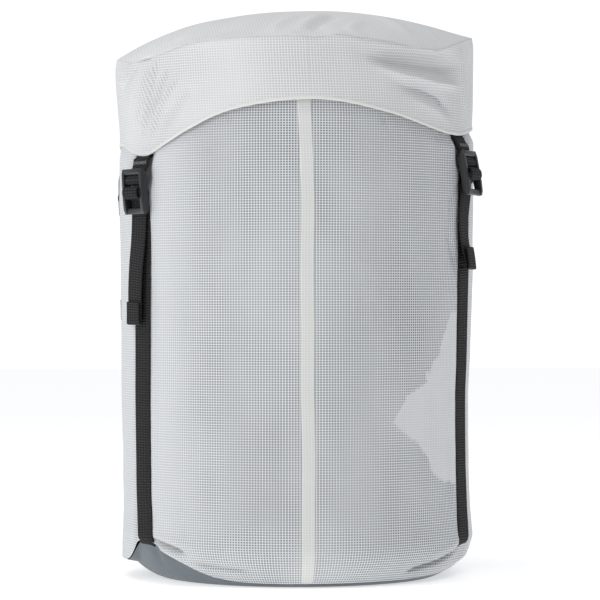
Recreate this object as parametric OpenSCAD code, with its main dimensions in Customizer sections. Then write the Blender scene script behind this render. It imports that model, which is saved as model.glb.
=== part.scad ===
// Compression sack: a filled round fabric tube on a coated bottom panel, with a drawcord mouth
// under a loose cap. Four webbing straps run from the bottom seam to ladderlock buckles on the cap.
// Millimetres, +Z up, origin at the middle of the base, the front of the sack towards -Y.

/* [Body] */
// Diameter of the filled sack
body_d = 248; // [244:1:252]
// Thickness of every fabric shell
fabric_t = 1.2; // [1:0.1:1.4]
// Radius of the rounded bottom corner
corner_r = 16; // [14:1:18]
// Height of the tube's open end, under the cap
mouth_z = 345; // [342:1:348]
// Depth that each short strap presses into the tube under the cap
strap_dent = 3.4; // [3.4:0.1:4]
// Width of the felled seam down the front
seam_w = 9; // [7:0.5:12]

/* [Bottom panel] */
// Height of the bottom seam at the middle of the front and rear
seam_front_z = 3; // [2:0.5:5]
// Height of the bottom seam where a strap is sewn in
seam_strap_z = 27; // [24:1:30]
// Height of the bottom seam at the middle of each side
seam_side_z = 12.5; // [10:0.5:15]

/* [Cap] */
// Sideways lean of the cap, right side up, in degrees
cap_tilt = 3.4; // [0:0.2:3.6]
// Height of the cap's top seam on the axis
cap_seam_z = 369; // [367:1:375]
// Rise of the domed top above the top seam
dome_h = 28; // [26:1:32]
// Clearance between the body and the cap's skirt
cap_gap = 2; // [1.9:0.1:2.6]
// Height of the cap's hem at the middle of the front and rear
hem_front_z = 326; // [320:1:330]
// Height of the cap's hem at a strap
hem_strap_z = 300.5; // [298:0.5:302]
// Height of the cap's hem at the middle of each side
hem_side_z = 307; // [304:1:310]
// Width of the hem's binding
hem_w = 3; // [2:0.5:5]

/* [Straps] */
// Width of the webbing
web_w = 20; // [18:0.5:20]
// Thickness of the webbing
web_t = 1.5; // [1.3:0.1:1.5]
// Angle of each strap from the middle of the front or rear, in degrees
strap_angle = 63.5; // [60:0.5:66]
// Length of webbing in each strap, from the bottom seam to the end of its tail
strap_length = 349; // [338:1:354]
// Length of the folded end of each tail
fold_l = 15.5; // [12:0.5:18]

/* [Buckles] */
// Length of the ladderlock
buckle_l = 31; // [31:0.5:33]
// Thickness of each side rail
rail_t = 3; // [2.6:0.1:3.4]
// Distance from the cap's hem down to the middle of the buckle
buckle_drop = 27; // [26.5:0.5:28]

/* [Drawcord] */
// Radius of the drawn-in mouth, at the middle of its cord channel
mouth_ring_r = 30; // [28:1:32]
// Diameter of the drawcord
cord_d = 3.2; // [2.6:0.1:3.4]
// Diameter of the cord lock
lock_d = 13; // [12:0.5:13.5]
// Travel of the cord lock's plunger
plunger_travel = 3; // [2:0.5:3]

/* [Hidden] */
CORNERS = ["front_left", "front_right", "rear_left", "rear_right"];
$fn = 96;

fabric_white = "#d6d8da";
hem_ivory = "#e2e2dc";
coated_slate = "#6e757a";
webbing_black = "#383839";
buckle_black = "#232425";
steel_grey = "#b5b8ba";

body_r = body_d / 2;
far = 700;

// Where a strap meets the body: its distance from the Y and X axes
strap_x = body_r * sin(strap_angle);
strap_y = body_r * cos(strap_angle);

// Radius of an arc through two points rise apart in height and reach apart sideways
function arc_radius(reach, rise) = (reach * reach + rise * rise) / (2 * rise);
bottom_arc_r = arc_radius(strap_x, seam_strap_z - seam_front_z);
bottom_side_r = arc_radius(strap_y, seam_strap_z - seam_side_z);
hem_arc_r = arc_radius(strap_x, hem_front_z - hem_strap_z);
hem_side_r = arc_radius(strap_y, hem_side_z - hem_strap_z);

// Angle of a corner's strap about Z, measured from +X
function corner_angle(c) =
    c == 0 ? -90 - strap_angle : c == 1 ? -90 + strap_angle : c == 2 ? 90 + strap_angle : 90 - strap_angle;
// Height of the cap's hem at a corner, with the cap's lean
cap_pivot_z = 319;
function hem_z(c) = cap_pivot_z + (hem_strap_z - cap_pivot_z) * cos(cap_tilt)
    + body_r * cos(corner_angle(c)) * sin(cap_tilt);
function buckle_z(c) = hem_z(c) - buckle_drop;
// The webbing that isn't in the run or round the buckle's bar hangs as the tail
loop_length = 18;
strap_foot_z = 25;
function tail_end_z(c) = buckle_z(c) - (strap_length - loop_length - (buckle_z(c) - strap_foot_z));

// Buckle's own axes: X out from the body's surface, Y along the bars, Z up from its middle
bar_r = 1.5;
bar_out = 5.2;
bar_up = 7.2;
bar_play = 0.1;
window_w = web_w + 0.6;
run_top = -8.4;
tail_in = 2.2;
tail_top = -9.4;

module at_corner(c) rotate([0, 0, corner_angle(c)]) translate([body_r, 0, 0]) children();
module at_buckle(c) at_corner(c) translate([0, 0, buckle_z(c)]) children();
// Turns a flat outline in X and Z into a strip of width w along Y, centred on Y = 0
module across(w) translate([0, w / 2, 0]) rotate([90, 0, 0]) linear_extrude(height = w) children();
module along_y(r, z) translate([0, far / 2, z]) rotate([90, 0, 0]) cylinder(r = r, h = far, $fn = 200);
module along_x(r, z) translate([-far / 2, 0, z]) rotate([0, 90, 0]) cylinder(r = r, h = far, $fn = 200);
module cap_place() translate([0, 0, cap_pivot_z]) rotate([0, -cap_tilt, 0])
    translate([0, 0, -cap_pivot_z]) children();
module round_bar(x0, x1, z0, z1, r) {
    translate([x0 + r, z0]) square([x1 - x0 - 2 * r, z1 - z0]);
    translate([x0, z0 + r]) square([x1 - x0, z1 - z0 - 2 * r]);
    for (x = [x0 + r, x1 - r], z = [z0 + r, z1 - r]) translate([x, z]) circle(r = r, $fn = 32);
}

// Outline of the filled sack, grown outwards by d and open above z = top
module body_outline(d, top) {
    translate([0, corner_r]) square([body_r + d, top - corner_r]);
    translate([0, -d]) square([body_r - corner_r, corner_r + d + 1]);
    translate([body_r - corner_r, corner_r]) circle(r = corner_r + d);
}
module body_shell(inside, outside, top) rotate_extrude($fn = 200) difference() {
    body_outline(outside, top);
    body_outline(inside, top + 5);
}
module above_bottom_seam() {
    along_y(bottom_arc_r, seam_front_z + bottom_arc_r);
    along_x(bottom_side_r, seam_side_z + bottom_side_r);
}

// Coated fabric base, cut in four petals that rise to the straps
module bottom_panel() color(coated_slate) difference() {
    body_shell(-fabric_t, 0, mouth_z);
    above_bottom_seam();
    translate([-far / 2, -far / 2, 2 * seam_strap_z]) cube(far);
}
// Hollow that a short strap presses into the tube, grown inwards by d
dent_low = 9;
module strap_dents(d) for (c = [0 : 3]) at_corner(c)
    translate([-strap_dent - d, -web_w / 2 - 1 - d, buckle_z(c) + dent_low - d]) cube([2 * strap_dent, web_w + 2 + 2 * d, far]);
// Ripstop tube from the bottom seam to the open mouth
module body_tube() color(fabric_white) intersection() {
    difference() {
        rotate_extrude($fn = 200) body_outline(0, mouth_z);
        strap_dents(0);
        difference() {
            rotate_extrude($fn = 200) body_outline(-fabric_t, mouth_z + 5);
            strap_dents(fabric_t);
        }
    }
    above_bottom_seam();
}
// Felled seam down the front of the tube
seam_t = 0.7;
module front_seam() color(hem_ivory) intersection() {
    body_shell(0, seam_t, mouth_z);
    above_bottom_seam();
    translate([-seam_w / 2, -body_r - 5, 0]) cube([seam_w, body_r / 2, mouth_z]);
}

// Mouth: a gathered collar that folds in over the tube's end and slopes up to a cord channel. It is
// pressed in behind the short straps as the tube is.
collar_fold_r = body_r - strap_dent - 2 * fabric_t;
collar_top_z = 368;
channel_t = 1;
channel_r = cord_d / 2 + channel_t + 1.4;
collar_inner_r = mouth_ring_r;
collar_slope = atan2(collar_top_z - mouth_z, collar_fold_r - collar_inner_r);
channel_z = collar_top_z + channel_r / cos(collar_slope);
module mouth_collar() color(fabric_white) difference() {
    rotate_extrude($fn = 200) polygon([[body_r, mouth_z], [collar_fold_r, mouth_z],
        [collar_inner_r, collar_top_z - fabric_t], [collar_inner_r, collar_top_z - 0.1],
        [collar_fold_r, mouth_z + fabric_t], [body_r, mouth_z + fabric_t]]);
    strap_dents(0);
}

// Cord lock, standing on the collar outside the channel
lock_x = mouth_ring_r + channel_r + lock_d / 2 + 5.5;
lock_wall = 2;
lock_bore_r = lock_d / 2 - lock_wall;
lock_gap = 0.4;
lock_low_z = collar_top_z - (lock_x - lock_d / 2 - collar_inner_r) * tan(collar_slope) + lock_gap;
lock_h = 16;
spring_low_z = lock_low_z + 1.5;
spring_h = 5.5;
plunger_low_z = spring_low_z + spring_h + 0.1;
window_z = lock_low_z + 11;
window_h = cord_d + 0.8;
strand_y = cord_d / 2 + 0.3;
window_y = 2 * (strand_y + cord_d / 2 + 0.2);

// Fabric tube that the drawcord runs in, with a buttonhole facing the lock
module cord_channel() color(fabric_white) difference() {
    rotate_extrude($fn = 128) translate([mouth_ring_r, channel_z]) difference() {
        circle(r = channel_r, $fn = 48);
        circle(r = channel_r - channel_t, $fn = 48);
    }
    translate([mouth_ring_r + 1, -strand_y - cord_d / 2 - 0.3, channel_z - cord_d / 2 - 0.3])
        cube([channel_r, 2 * strand_y + cord_d + 0.6, channel_r * 2]);
}
// One straight stretch of cord between two points of the XZ plane, with a round end at each
module cord_stretch(a, b) {
    run = b - a;
    translate([a[0], 0, a[1]]) rotate([0, atan2(run[0], run[1]), 0]) cylinder(r = cord_d / 2, h = norm(run));
    translate([b[0], 0, b[1]]) sphere(r = cord_d / 2 + 0.02);
}
cord_route = [[mouth_ring_r, channel_z + 0.85], [mouth_ring_r + 5.5, channel_z + 1.85],
    [lock_x - 7.5, window_z], [lock_x + 9.5, window_z]];
knot_r = 3;
module drawcord() color(webbing_black) {
    rotate_extrude($fn = 128) translate([mouth_ring_r, channel_z]) circle(r = cord_d / 2, $fn = 32);
    for (side = [-1, 1]) translate([0, side * strand_y, 0])
        for (i = [0 : len(cord_route) - 2]) cord_stretch(cord_route[i], cord_route[i + 1]);
    translate([cord_route[3][0] + knot_r / 2, 0, cord_route[3][1]]) sphere(r = knot_r);
}
module lock_barrel() color(buckle_black) difference() {
    translate([lock_x, 0, lock_low_z]) cylinder(d = lock_d, h = lock_h);
    translate([lock_x, 0, spring_low_z]) cylinder(r = lock_bore_r, h = lock_h);
    translate([lock_x - lock_d, -window_y / 2, window_z - window_h / 2]) cube([2 * lock_d, window_y, window_h]);
}
module lock_plunger() color(buckle_black) difference() {
    translate([lock_x, 0, plunger_low_z])
        cylinder(r = lock_bore_r - 0.1, h = lock_low_z + lock_h - plunger_low_z + plunger_travel + 1);
    translate([lock_x - lock_d, -window_y / 2, window_z - window_h / 2])
        cube([2 * lock_d, window_y, window_h + plunger_travel]);
}
// Compression spring as a swept round wire
spring_turns = 3;
wire_r = 0.35;
spring_r = lock_bore_r - wire_r - 0.3;
ring_sides = 8;
rings = spring_turns * 16;
function coil_point(i) = let (a = 360 * spring_turns * i / rings)
    [spring_r * cos(a), spring_r * sin(a), wire_r + (spring_h - 2 * wire_r) * i / rings];
module lock_spring() color(steel_grey) translate([lock_x, 0, spring_low_z]) polyhedron(
    points = [for (i = [0 : rings], s = [0 : ring_sides - 1])
        let (p = coil_point(i), a = 360 * spring_turns * i / rings, b = 360 * s / ring_sides)
        p + wire_r * [cos(b) * cos(a), cos(b) * sin(a), sin(b)]],
    faces = concat(
        [[for (s = [0 : ring_sides - 1]) s]],
        [[for (s = [ring_sides - 1 : -1 : 0]) rings * ring_sides + s]],
        [for (i = [0 : rings - 1], s = [0 : ring_sides - 1])
            [i * ring_sides + s, (i + 1) * ring_sides + s, (i + 1) * ring_sides + (s + 1) % ring_sides,
            i * ring_sides + (s + 1) % ring_sides]]));

// Cap: domed top, skirt with an arched hem, and the binding round the hem
cap_in_r = body_r + cap_gap;
cap_out_r = cap_in_r + fabric_t;
dome_r = arc_radius(cap_out_r, dome_h);
module cap_top() color(fabric_white) cap_place() intersection() {
    translate([0, 0, cap_seam_z + dome_h - dome_r]) difference() {
        sphere(r = dome_r, $fn = 200);
        sphere(r = dome_r - fabric_t, $fn = 200);
    }
    translate([0, 0, cap_seam_z + 0.02]) cylinder(r = cap_out_r + 1, h = 2 * dome_h);
}
module below_hem(up) translate([0, 0, up]) {
    along_y(hem_arc_r, hem_front_z - hem_arc_r);
    along_x(hem_side_r, hem_side_z - hem_side_r);
}
module cap_ring(inner, outer, top) translate([0, 0, hem_strap_z - 20]) difference() {
    cylinder(r = outer, h = top - hem_strap_z + 20, $fn = 200);
    translate([0, 0, -1]) cylinder(r = inner, h = far, $fn = 200);
}
module cap_skirt() color(fabric_white) cap_place() difference() {
    cap_ring(cap_in_r, cap_out_r, cap_seam_z);
    below_hem(0);
}
hem_t = 0.6;
module cap_hem() color(hem_ivory) cap_place() intersection() {
    difference() {
        cap_ring(cap_out_r, cap_out_r + hem_t, cap_seam_z);
        below_hem(0);
    }
    below_hem(hem_w);
}

// Short doubled strap from inside the cap's hem to the buckle's anchor bar
knee = [1.2, 15.5];
hem_turn_z = 22.5;
cap_strap_top = 42;
// Above the hem it lies against the skirt's inside. Distances out from the body's surface, at a corner:
// the skirt's inside at height z, and the strap's middle, its flat face clear of the round skirt
skirt_clear = 0.6;
function skirt_out(c, z) =
    cap_in_r * cos(cap_tilt) + (cap_pivot_z - z) * sin(cap_tilt) * cos(corner_angle(c)) - body_r;
function lie_out(c) =
    min(skirt_out(c, hem_z(c)), skirt_out(c, buckle_z(c) + cap_strap_top)) - web_t - skirt_clear;
// A ribbon of thickness t along a route of points, as one flat outline with mitred corners
function heading(a, b) = (b - a) / norm(b - a);
function mitre(route, i) =
    let (last = len(route) - 1,
        before = i == 0 ? heading(route[0], route[1]) : heading(route[i - 1], route[i]),
        after = i == last ? before : heading(route[i], route[i + 1]),
        mean = before + after,
        across_mean = [-mean[1], mean[0]] / norm(mean))
    across_mean / (across_mean * [-before[1], before[0]]);
module ribbon(route, t) polygon(concat(
    [for (i = [0 : len(route) - 1]) route[i] - t / 2 * mitre(route, i)],
    [for (i = [len(route) - 1 : -1 : 0]) route[i] + t / 2 * mitre(route, i)]));
bar_mid = [bar_out, bar_up];
loop_r = bar_r + bar_play + web_t / 2;
module cap_strap(c) color(webbing_black) at_buckle(c) across(web_w) difference() {
    union() {
        translate([bar_out, bar_up]) circle(r = bar_r + bar_play + web_t);
        ribbon([bar_mid + loop_r * heading(bar_mid, knee), knee, [lie_out(c), hem_turn_z],
            [lie_out(c), cap_strap_top]], 2 * web_t);
    }
    translate([bar_out, bar_up]) circle(r = bar_r + bar_play);
}
// Zigzag bartack across the outside of each short strap, just under the hem
tack_t = 0.4;
tack_w = web_w - 4;
module cap_strap_bartacks() color(webbing_black) for (c = [0 : 3]) at_buckle(c)
    translate([(knee[0] + lie_out(c)) / 2, 0, (knee[1] + hem_turn_z) / 2])
    rotate([0, atan2(lie_out(c) - knee[0], hem_turn_z - knee[1]), 0])
    translate([web_t, -tack_w / 2, -1.5]) cube([tack_t, tack_w, 3]);

// Ladderlock: two side rails, a raised rim, an anchor bar, a middle bar and an end bar
half_l = buckle_l / 2;
mid_bar = [5.6, 8.8, -3.2, 1.6];
module buckle(c) color(buckle_black) at_buckle(c) {
    for (side = [-1, 1]) translate([0, side * (window_w + rail_t) / 2, 0]) across(rail_t)
        polygon([[3.4, -11.5], [4.6, -half_l], [8.3, -half_l], [10, -12.6], [10.8, -6], [11.1, 2],
            [10.9, 11.6], [9.8, half_l], [7.2, half_l], [4.2, 11.8], [3.4, 9]]);
    across(window_w) round_bar(7.2, 10.6, half_l - 4, half_l, 1.5);
    across(window_w) translate([bar_out, bar_up]) circle(r = bar_r);
    across(window_w) round_bar(mid_bar[0], mid_bar[1], mid_bar[2], mid_bar[3], 1.2);
    across(window_w) round_bar(4.3, 8.4, -half_l, -half_l + 4.2, 1.3);
}

// Long strap: its run up the body, the loop over the buckle's middle bar, and the hanging tail
strap_gap = 0.05;
module strap(c) color(webbing_black) intersection() {
    difference() {
        translate([0, 0, strap_foot_z])
            cylinder(r = body_r + strap_gap + web_t, h = buckle_z(c) + run_top - strap_foot_z, $fn = 200);
        cylinder(r = body_r + strap_gap, h = far, $fn = 200);
    }
    at_corner(c) translate([-10, -web_w / 2, 0]) cube([20, web_w, far]);
}
loop_t = web_t - 0.1;
loop_route = [[1.1, -7.6], [1.1, -0.8], [3, 1.9], [5.6, 2.7], [8.6, 2.7], [9.9, 1.4], [9.9, -3], [8.7, -4.3],
    [5.4, -4.4], [3.4, -5.6], [2.95, -7.4], [2.95, -9.1]];
module strap_loop(c) color(webbing_black) at_buckle(c) across(web_w) ribbon(loop_route, loop_t);
module strap_tail(c) color(webbing_black) at_corner(c) {
    top = buckle_z(c) + tail_top;
    translate([tail_in, -web_w / 2, tail_end_z(c)]) cube([web_t, web_w, top - tail_end_z(c)]);
    translate([tail_in, -web_w / 2, tail_end_z(c)]) cube([2 * web_t, web_w, fold_l]);
}

bottom_panel();
body_tube();
front_seam();
mouth_collar();
cord_channel();
drawcord();
lock_barrel();
lock_plunger();
lock_spring();
cap_top();
cap_skirt();
cap_hem();
cap_strap_bartacks();
for (c = [0 : 3]) {
    cap_strap(c);
    buckle(c);
    strap(c);
    strap_loop(c);
    strap_tail(c);
}
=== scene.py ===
import math

import bpy
import numpy as np
from mathutils import Matrix, Vector, noise


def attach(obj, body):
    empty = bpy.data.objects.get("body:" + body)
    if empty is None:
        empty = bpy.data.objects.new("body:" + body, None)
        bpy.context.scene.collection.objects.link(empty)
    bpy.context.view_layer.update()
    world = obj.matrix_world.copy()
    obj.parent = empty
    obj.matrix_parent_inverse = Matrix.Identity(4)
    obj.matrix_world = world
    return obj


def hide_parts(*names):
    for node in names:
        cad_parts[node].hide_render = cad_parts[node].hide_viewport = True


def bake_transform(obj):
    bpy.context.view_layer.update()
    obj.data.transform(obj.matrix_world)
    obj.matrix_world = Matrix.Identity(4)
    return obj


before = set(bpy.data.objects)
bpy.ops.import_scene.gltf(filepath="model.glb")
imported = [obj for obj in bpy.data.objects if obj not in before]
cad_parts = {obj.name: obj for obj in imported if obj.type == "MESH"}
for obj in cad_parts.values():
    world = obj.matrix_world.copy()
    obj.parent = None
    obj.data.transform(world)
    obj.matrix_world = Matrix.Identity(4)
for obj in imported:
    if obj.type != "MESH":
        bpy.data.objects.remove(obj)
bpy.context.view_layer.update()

# ---------------------------------------------------------------------------
# View, floor and light: a long lens at mid height, a plain pale floor, white
# studio walls that give most of the light, a soft lamp on the left and one above.
MM = 0.001
IMAGE = 600
SENSOR = 36.0
VIEW_AZIMUTH = math.radians(-4.5)
VIEW_DISTANCE = 2.0
VIEW_HEIGHT = 0.193
WIDTH_SEEN = 0.4236
AXIS_PIXEL = 296.5
LAMPS_AIM = Vector((0, 0, 0.2))


def from_view(sideways, back, height):
    """A point given across the view, towards the camera and up, in metres."""
    across = Vector((math.cos(VIEW_AZIMUTH), math.sin(VIEW_AZIMUTH), 0))
    towards = Vector((math.sin(VIEW_AZIMUTH), -math.cos(VIEW_AZIMUTH), 0))
    return across * sideways + towards * back + Vector((0, 0, height))


def look_along(thing, start, target):
    """Adds a camera or a lamp to the scene, looking from start to target."""
    thing.location = start
    thing.rotation_mode = "QUATERNION"
    thing.rotation_quaternion = (target - start).to_track_quat("-Z", "Y")
    bpy.context.scene.collection.objects.link(thing)


scene = bpy.context.scene
scene.view_settings.view_transform = "Standard"
camera_offset = (IMAGE / 2 - AXIS_PIXEL) / IMAGE * WIDTH_SEEN
camera = bpy.data.objects.new("camera", bpy.data.cameras.new("camera"))
camera.data.sensor_width = SENSOR
camera.data.lens = SENSOR * VIEW_DISTANCE / WIDTH_SEEN
look_along(
    camera,
    from_view(camera_offset, VIEW_DISTANCE, VIEW_HEIGHT),
    from_view(camera_offset, 0, VIEW_HEIGHT),
)
scene.camera = camera


def area_light(name, place, size, watts):
    """A soft lamp that faces the sack."""
    lamp = bpy.data.objects.new(name, bpy.data.lights.new(name, "AREA"))
    lamp.data.size = size
    lamp.data.energy = watts
    look_along(lamp, place, LAMPS_AIM)


area_light("key_light", from_view(-1.3, 1.1, 0.9), 0.9, 7.5)
area_light("top_light", from_view(-0.3, 0.2, 1.6), 1.2, 5.5)


def linear(code):
    """An sRGB hex colour as linear RGBA."""
    parts = [int(code[i : i + 2], 16) / 255 for i in (1, 3, 5)]
    return tuple(p / 12.92 if p <= 0.04045 else ((p + 0.055) / 1.055) ** 2.4 for p in parts) + (1.0,)


def add(tree, kind, inputs=None, **settings):
    """Adds a node; an input that is a socket is linked, and any other is set as a value."""
    new = tree.nodes.new(kind)
    for name, value in settings.items():
        setattr(new, name, value)
    for name, value in (inputs or {}).items():
        if isinstance(value, bpy.types.NodeSocket):
            tree.links.new(value, new.inputs[name])
        else:
            new.inputs[name].default_value = value
    return new


def plain_material(name, **sockets):
    """A new material with its shader's sockets set; returns it, its tree and its shader."""
    material = bpy.data.materials.new(name)
    material.use_nodes = True
    shader = material.node_tree.nodes["Principled BSDF"]
    for socket, value in sockets.items():
        shader.inputs[socket.replace("_", " ")].default_value = value
    return material, material.node_tree, shader


# The studio's white walls light the sack softly, and show as plain white behind it
world = bpy.data.worlds.new("studio")
world.use_nodes = True
walls = world.node_tree.nodes["Background"]
walls.inputs["Color"].default_value = linear("#fbfcff")
direct = add(world.node_tree, "ShaderNodeLightPath").outputs["Is Camera Ray"]
WALLS_LIGHT, WALLS_SEEN = 0.53, 1.1
brightness = {"Value": direct, "To Min": WALLS_LIGHT, "To Max": WALLS_SEEN}
strength = add(world.node_tree, "ShaderNodeMapRange", brightness)
world.node_tree.links.new(strength.outputs[0], walls.inputs["Strength"])
scene.world = world

FLOOR_SIZE = 12.0
FLOOR_GLOW = 0.5
bpy.ops.object.select_all(action="DESELECT")
bpy.ops.mesh.primitive_plane_add(size=FLOOR_SIZE)
floor = bpy.context.object
floor.name = "floor"
floor_paper, _, floor_shader = plain_material(
    "matt_white_paper", Base_Color=linear("#f4f4f4"), Roughness=0.9
)
floor_shader.inputs["Specular IOR Level"].default_value = 0.1
floor_shader.inputs["Emission Color"].default_value = linear("#ffffff")
floor_shader.inputs["Emission Strength"].default_value = FLOOR_GLOW
floor.data.materials.append(floor_paper)

# ---------------------------------------------------------------------------
# Tube: one panel of thin white ripstop nylon, rolled round and felled down the
# front, sewn to the base below and open above. What is packed shows through
# its cells as grey, and on the front's left and on the sides the cells are
# painted paler as painted light; the straps press soft channels into it.
BODY_R = 124.0
FLOOR_R = 97.0
CORNER_H = 30.0
MOUTH_Z = 345.0
CAP_LEAN = math.radians(3.4)
CAP_PIVOT_Z = 319.0
# Angles round the sack, from the front and positive to the right, in degrees: where the straps are
# shown, and where their solids are
STRAP_ANGLES = [-62.1, 62.4, -116.5, 116.5]
SOLID_ANGLES = [-63.5, 63.5, -116.5, 116.5]
STRAP_HEM_Z = 300.5
BUCKLE_DROP = 27.0


def panel(name, columns, rows):
    """A flat unit panel of fabric, cut into columns and rows, still to be shaped."""
    bpy.ops.object.select_all(action="DESELECT")
    bpy.ops.mesh.primitive_grid_add(x_subdivisions=columns, y_subdivisions=rows, size=1, calc_uvs=True)
    piece = bpy.context.object
    piece.name = name
    return piece


def shape(piece, place, closed=True):
    """Moves a panel's points where place(across, up) puts them, in mm, with both from 0 to 1.

    place also gives each point's spot on the flat cloth in mm, which becomes its UV."""
    mesh = piece.data
    flat = np.zeros(len(mesh.vertices) * 3)
    mesh.vertices.foreach_get("co", flat)
    flat = flat.reshape(-1, 3) + 0.5
    points, cut_across, cut_up = place(flat[:, 0], flat[:, 1])
    mesh.vertices.foreach_set("co", (points * MM).ravel())
    corner = np.zeros(len(mesh.loops), int)
    mesh.loops.foreach_get("vertex_index", corner)
    uv = np.stack([cut_across[corner], cut_up[corner]], axis=-1) * MM
    mesh.uv_layers[0].data.foreach_set("uv", uv.ravel())
    mesh.update()
    if closed:
        bpy.context.view_layer.objects.active = piece
        bpy.ops.object.mode_set(mode="EDIT")
        bpy.ops.mesh.select_all(action="SELECT")
        bpy.ops.mesh.remove_doubles(threshold=0.00002)
        bpy.ops.mesh.normals_make_consistent(inside=False)
        bpy.ops.object.mode_set(mode="OBJECT")
    bpy.ops.object.shade_smooth()
    return piece


def thicken(piece, thickness):
    """Gives a wall its thickness inwards."""
    bpy.context.view_layer.objects.active = piece
    solid = piece.modifiers.new("wall", "SOLIDIFY")
    solid.thickness = thickness * MM
    solid.offset = -1
    bpy.ops.object.modifier_apply(modifier=solid.name)


def smooth(low, high, value):
    """A soft step from 0 at low to 1 at high; it falls instead where low is the greater."""
    t = np.clip((value - low) / (high - low), 0, 1)
    return t * t * (3 - 2 * t)


def hump(distance, width):
    """1 at no distance, falling to about a third at width."""
    return np.exp(-((distance / width) ** 2))


def arc_of(angle):
    """Distance in mm round the body from the front, for an angle in degrees."""
    return np.radians(angle) * BODY_R


def ripple(across, up, size_across, size_up, seed):
    """Soft random relief from -1 to 1, with lumps of the given size in mm; closed round the tube."""
    around = across / BODY_R
    radius = BODY_R / size_across
    return np.array(
        [
            noise.noise(Vector((radius * math.cos(a), radius * math.sin(a), u / size_up + seed * 7.3)))
            for a, u in zip(around, up)
        ]
    )


def to_line(x, y, start, end):
    """Distance of points from a straight line, and the share of the line at which they are nearest."""
    (ax, ay), (bx, by) = start, end
    t = ((x - ax) * (bx - ax) + (y - ay) * (by - ay)) / ((bx - ax) ** 2 + (by - ay) ** 2)
    t = np.clip(t, 0, 1)
    return np.hypot(x - ax - t * (bx - ax), y - ay - t * (by - ay)), t


def along(angle, height, route, width, sharp=1.6):
    """1 on a route of (degrees, mm) points over the cloth and 0 away from it, fading at both ends."""
    across = arc_of(angle)
    points = [(math.radians(turn) * BODY_R, rise) for turn, rise in route]
    total = sum(math.dist(a, b) for a, b in zip(points, points[1:]))
    nearest = np.full(across.shape, 1e9)
    share = np.zeros(across.shape)
    before = 0.0
    for start, end in zip(points, points[1:]):
        length = math.dist(start, end)
        distance, t = to_line(across, height, start, end)
        closer = distance < nearest
        nearest = np.where(closer, distance, nearest)
        share = np.where(closer, (before + t * length) / total, share)
        before += length
    ends = smooth(0, 0.25, share) * smooth(0, 0.25, 1 - share)
    return np.exp(-((nearest / width) ** sharp)) * (0.15 + 0.85 * ends)


def through(points):
    """A smooth closed function of degrees through given (degrees, mm) points."""
    angles = np.array([p[0] for p in points], float)
    heights = np.array([p[1] for p in points], float)
    angles = np.concatenate([angles[:-1] - 360, angles, angles[1:] + 360])
    heights = np.concatenate([heights[:-1], heights, heights[1:]])
    slopes = np.gradient(heights, angles)

    def value(angle):
        i = np.clip(np.searchsorted(angles, angle) - 1, 0, len(angles) - 2)
        step = angles[i + 1] - angles[i]
        t = (angle - angles[i]) / step
        return (
            (2 * t**3 - 3 * t**2 + 1) * heights[i]
            + (t**3 - 2 * t**2 + t) * step * slopes[i]
            + (3 * t**2 - 2 * t**3) * heights[i + 1]
            + (t**3 - t**2) * step * slopes[i + 1]
        )

    return value


def sack_point(angle, radius, height):
    """Angle in degrees from the front, positive to the right."""
    turn = np.radians(angle)
    return np.stack([radius * np.sin(turn), -radius * np.cos(turn), height + 0 * turn], axis=-1)


def lean(points):
    """Leans the cap's points to the left about its pivot height."""
    x, y, z = points[..., 0], points[..., 1], points[..., 2] - CAP_PIVOT_Z
    c, s = math.cos(CAP_LEAN), math.sin(CAP_LEAN)
    return np.stack([x * c - z * s, y, x * s + z * c + CAP_PIVOT_Z], axis=-1)


def unlean(angle, height):
    """The height that a cap point has before the cap leans."""
    return height - BODY_R * np.sin(np.radians(angle)) * math.sin(CAP_LEAN)


# Heights of the cap's hem and of the bottom seam round the sack, in mm, by degrees from the front
hem_line = through(
    [
        (-180, 326), (-162, 322.8), (-150, 315.5), (-138, 306), (-128, 297), (-121, 293.6), (-112, 293.2),
        (-103, 297.5), (-90, 300.6), (-77, 299), (-69, 293.8), (-64.5, 292), (-59.5, 291.8), (-56.5, 293.3),
        (-48.3, 300.1), (-38.6, 308.7), (-30.8, 315.5), (-24.8, 319.6), (-17.6, 322.8), (-6, 325.9),
        (8, 325.6), (16.2, 322.5), (23.9, 319), (31.5, 314.9), (39.7, 310.3), (49, 307), (58.5, 306.4),
        (66, 308.2), (77, 311.5), (90, 313.6), (103, 311), (112, 307), (121, 307), (131, 310.3),
        (140, 312.5), (150, 316), (162, 322), (180, 326),
    ]
)
bottom_seam = through(
    [
        (-180, 3), (-150, 4), (-135, 12), (-125, 22), (-116, 28), (-107, 21), (-98, 15), (-90, 13.2),
        (-82, 13.4), (-76, 14.2), (-72.5, 17), (-69, 23.5), (-65.5, 28.2), (-60, 29), (-56.5, 28), (-50, 22),
        (-45, 16.4), (-40, 10.8), (-35, 6.8), (-30, 4.6), (-20, 3), (0, 2.6), (20, 2.8), (35, 3), (50, 3.8),
        (63, 5), (78, 7.5), (90, 10), (105, 17), (116, 28), (125, 22), (135, 12), (150, 4), (180, 3),
    ]
)


def strap_centre(i):
    """Height of the middle of each buckle, which the cap's lean sets."""
    rise = BODY_R * math.sin(math.radians(SOLID_ANGLES[i])) * math.sin(CAP_LEAN)
    return CAP_PIVOT_Z + (STRAP_HEM_Z - CAP_PIVOT_Z) * math.cos(CAP_LEAN) + rise - BUCKLE_DROP


# Heights in mm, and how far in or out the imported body's left and right sides stand there
LEFT_SIDE = (
    [0, 25, 45, 90, 125, 160, 190, 235, 260],
    [-1, -1.2, -2, -2, -1.3, -1.2, -0.7, -0.3, 0.5],
)
RIGHT_SIDE = (
    [0, 30, 45, 59, 73, 100, 129, 144, 165, 200, 216],
    [0, 0, -1.4, -2.1, -2.8, -3.4, -3.4, -2.7, -2, -0.7, 0],
)


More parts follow.
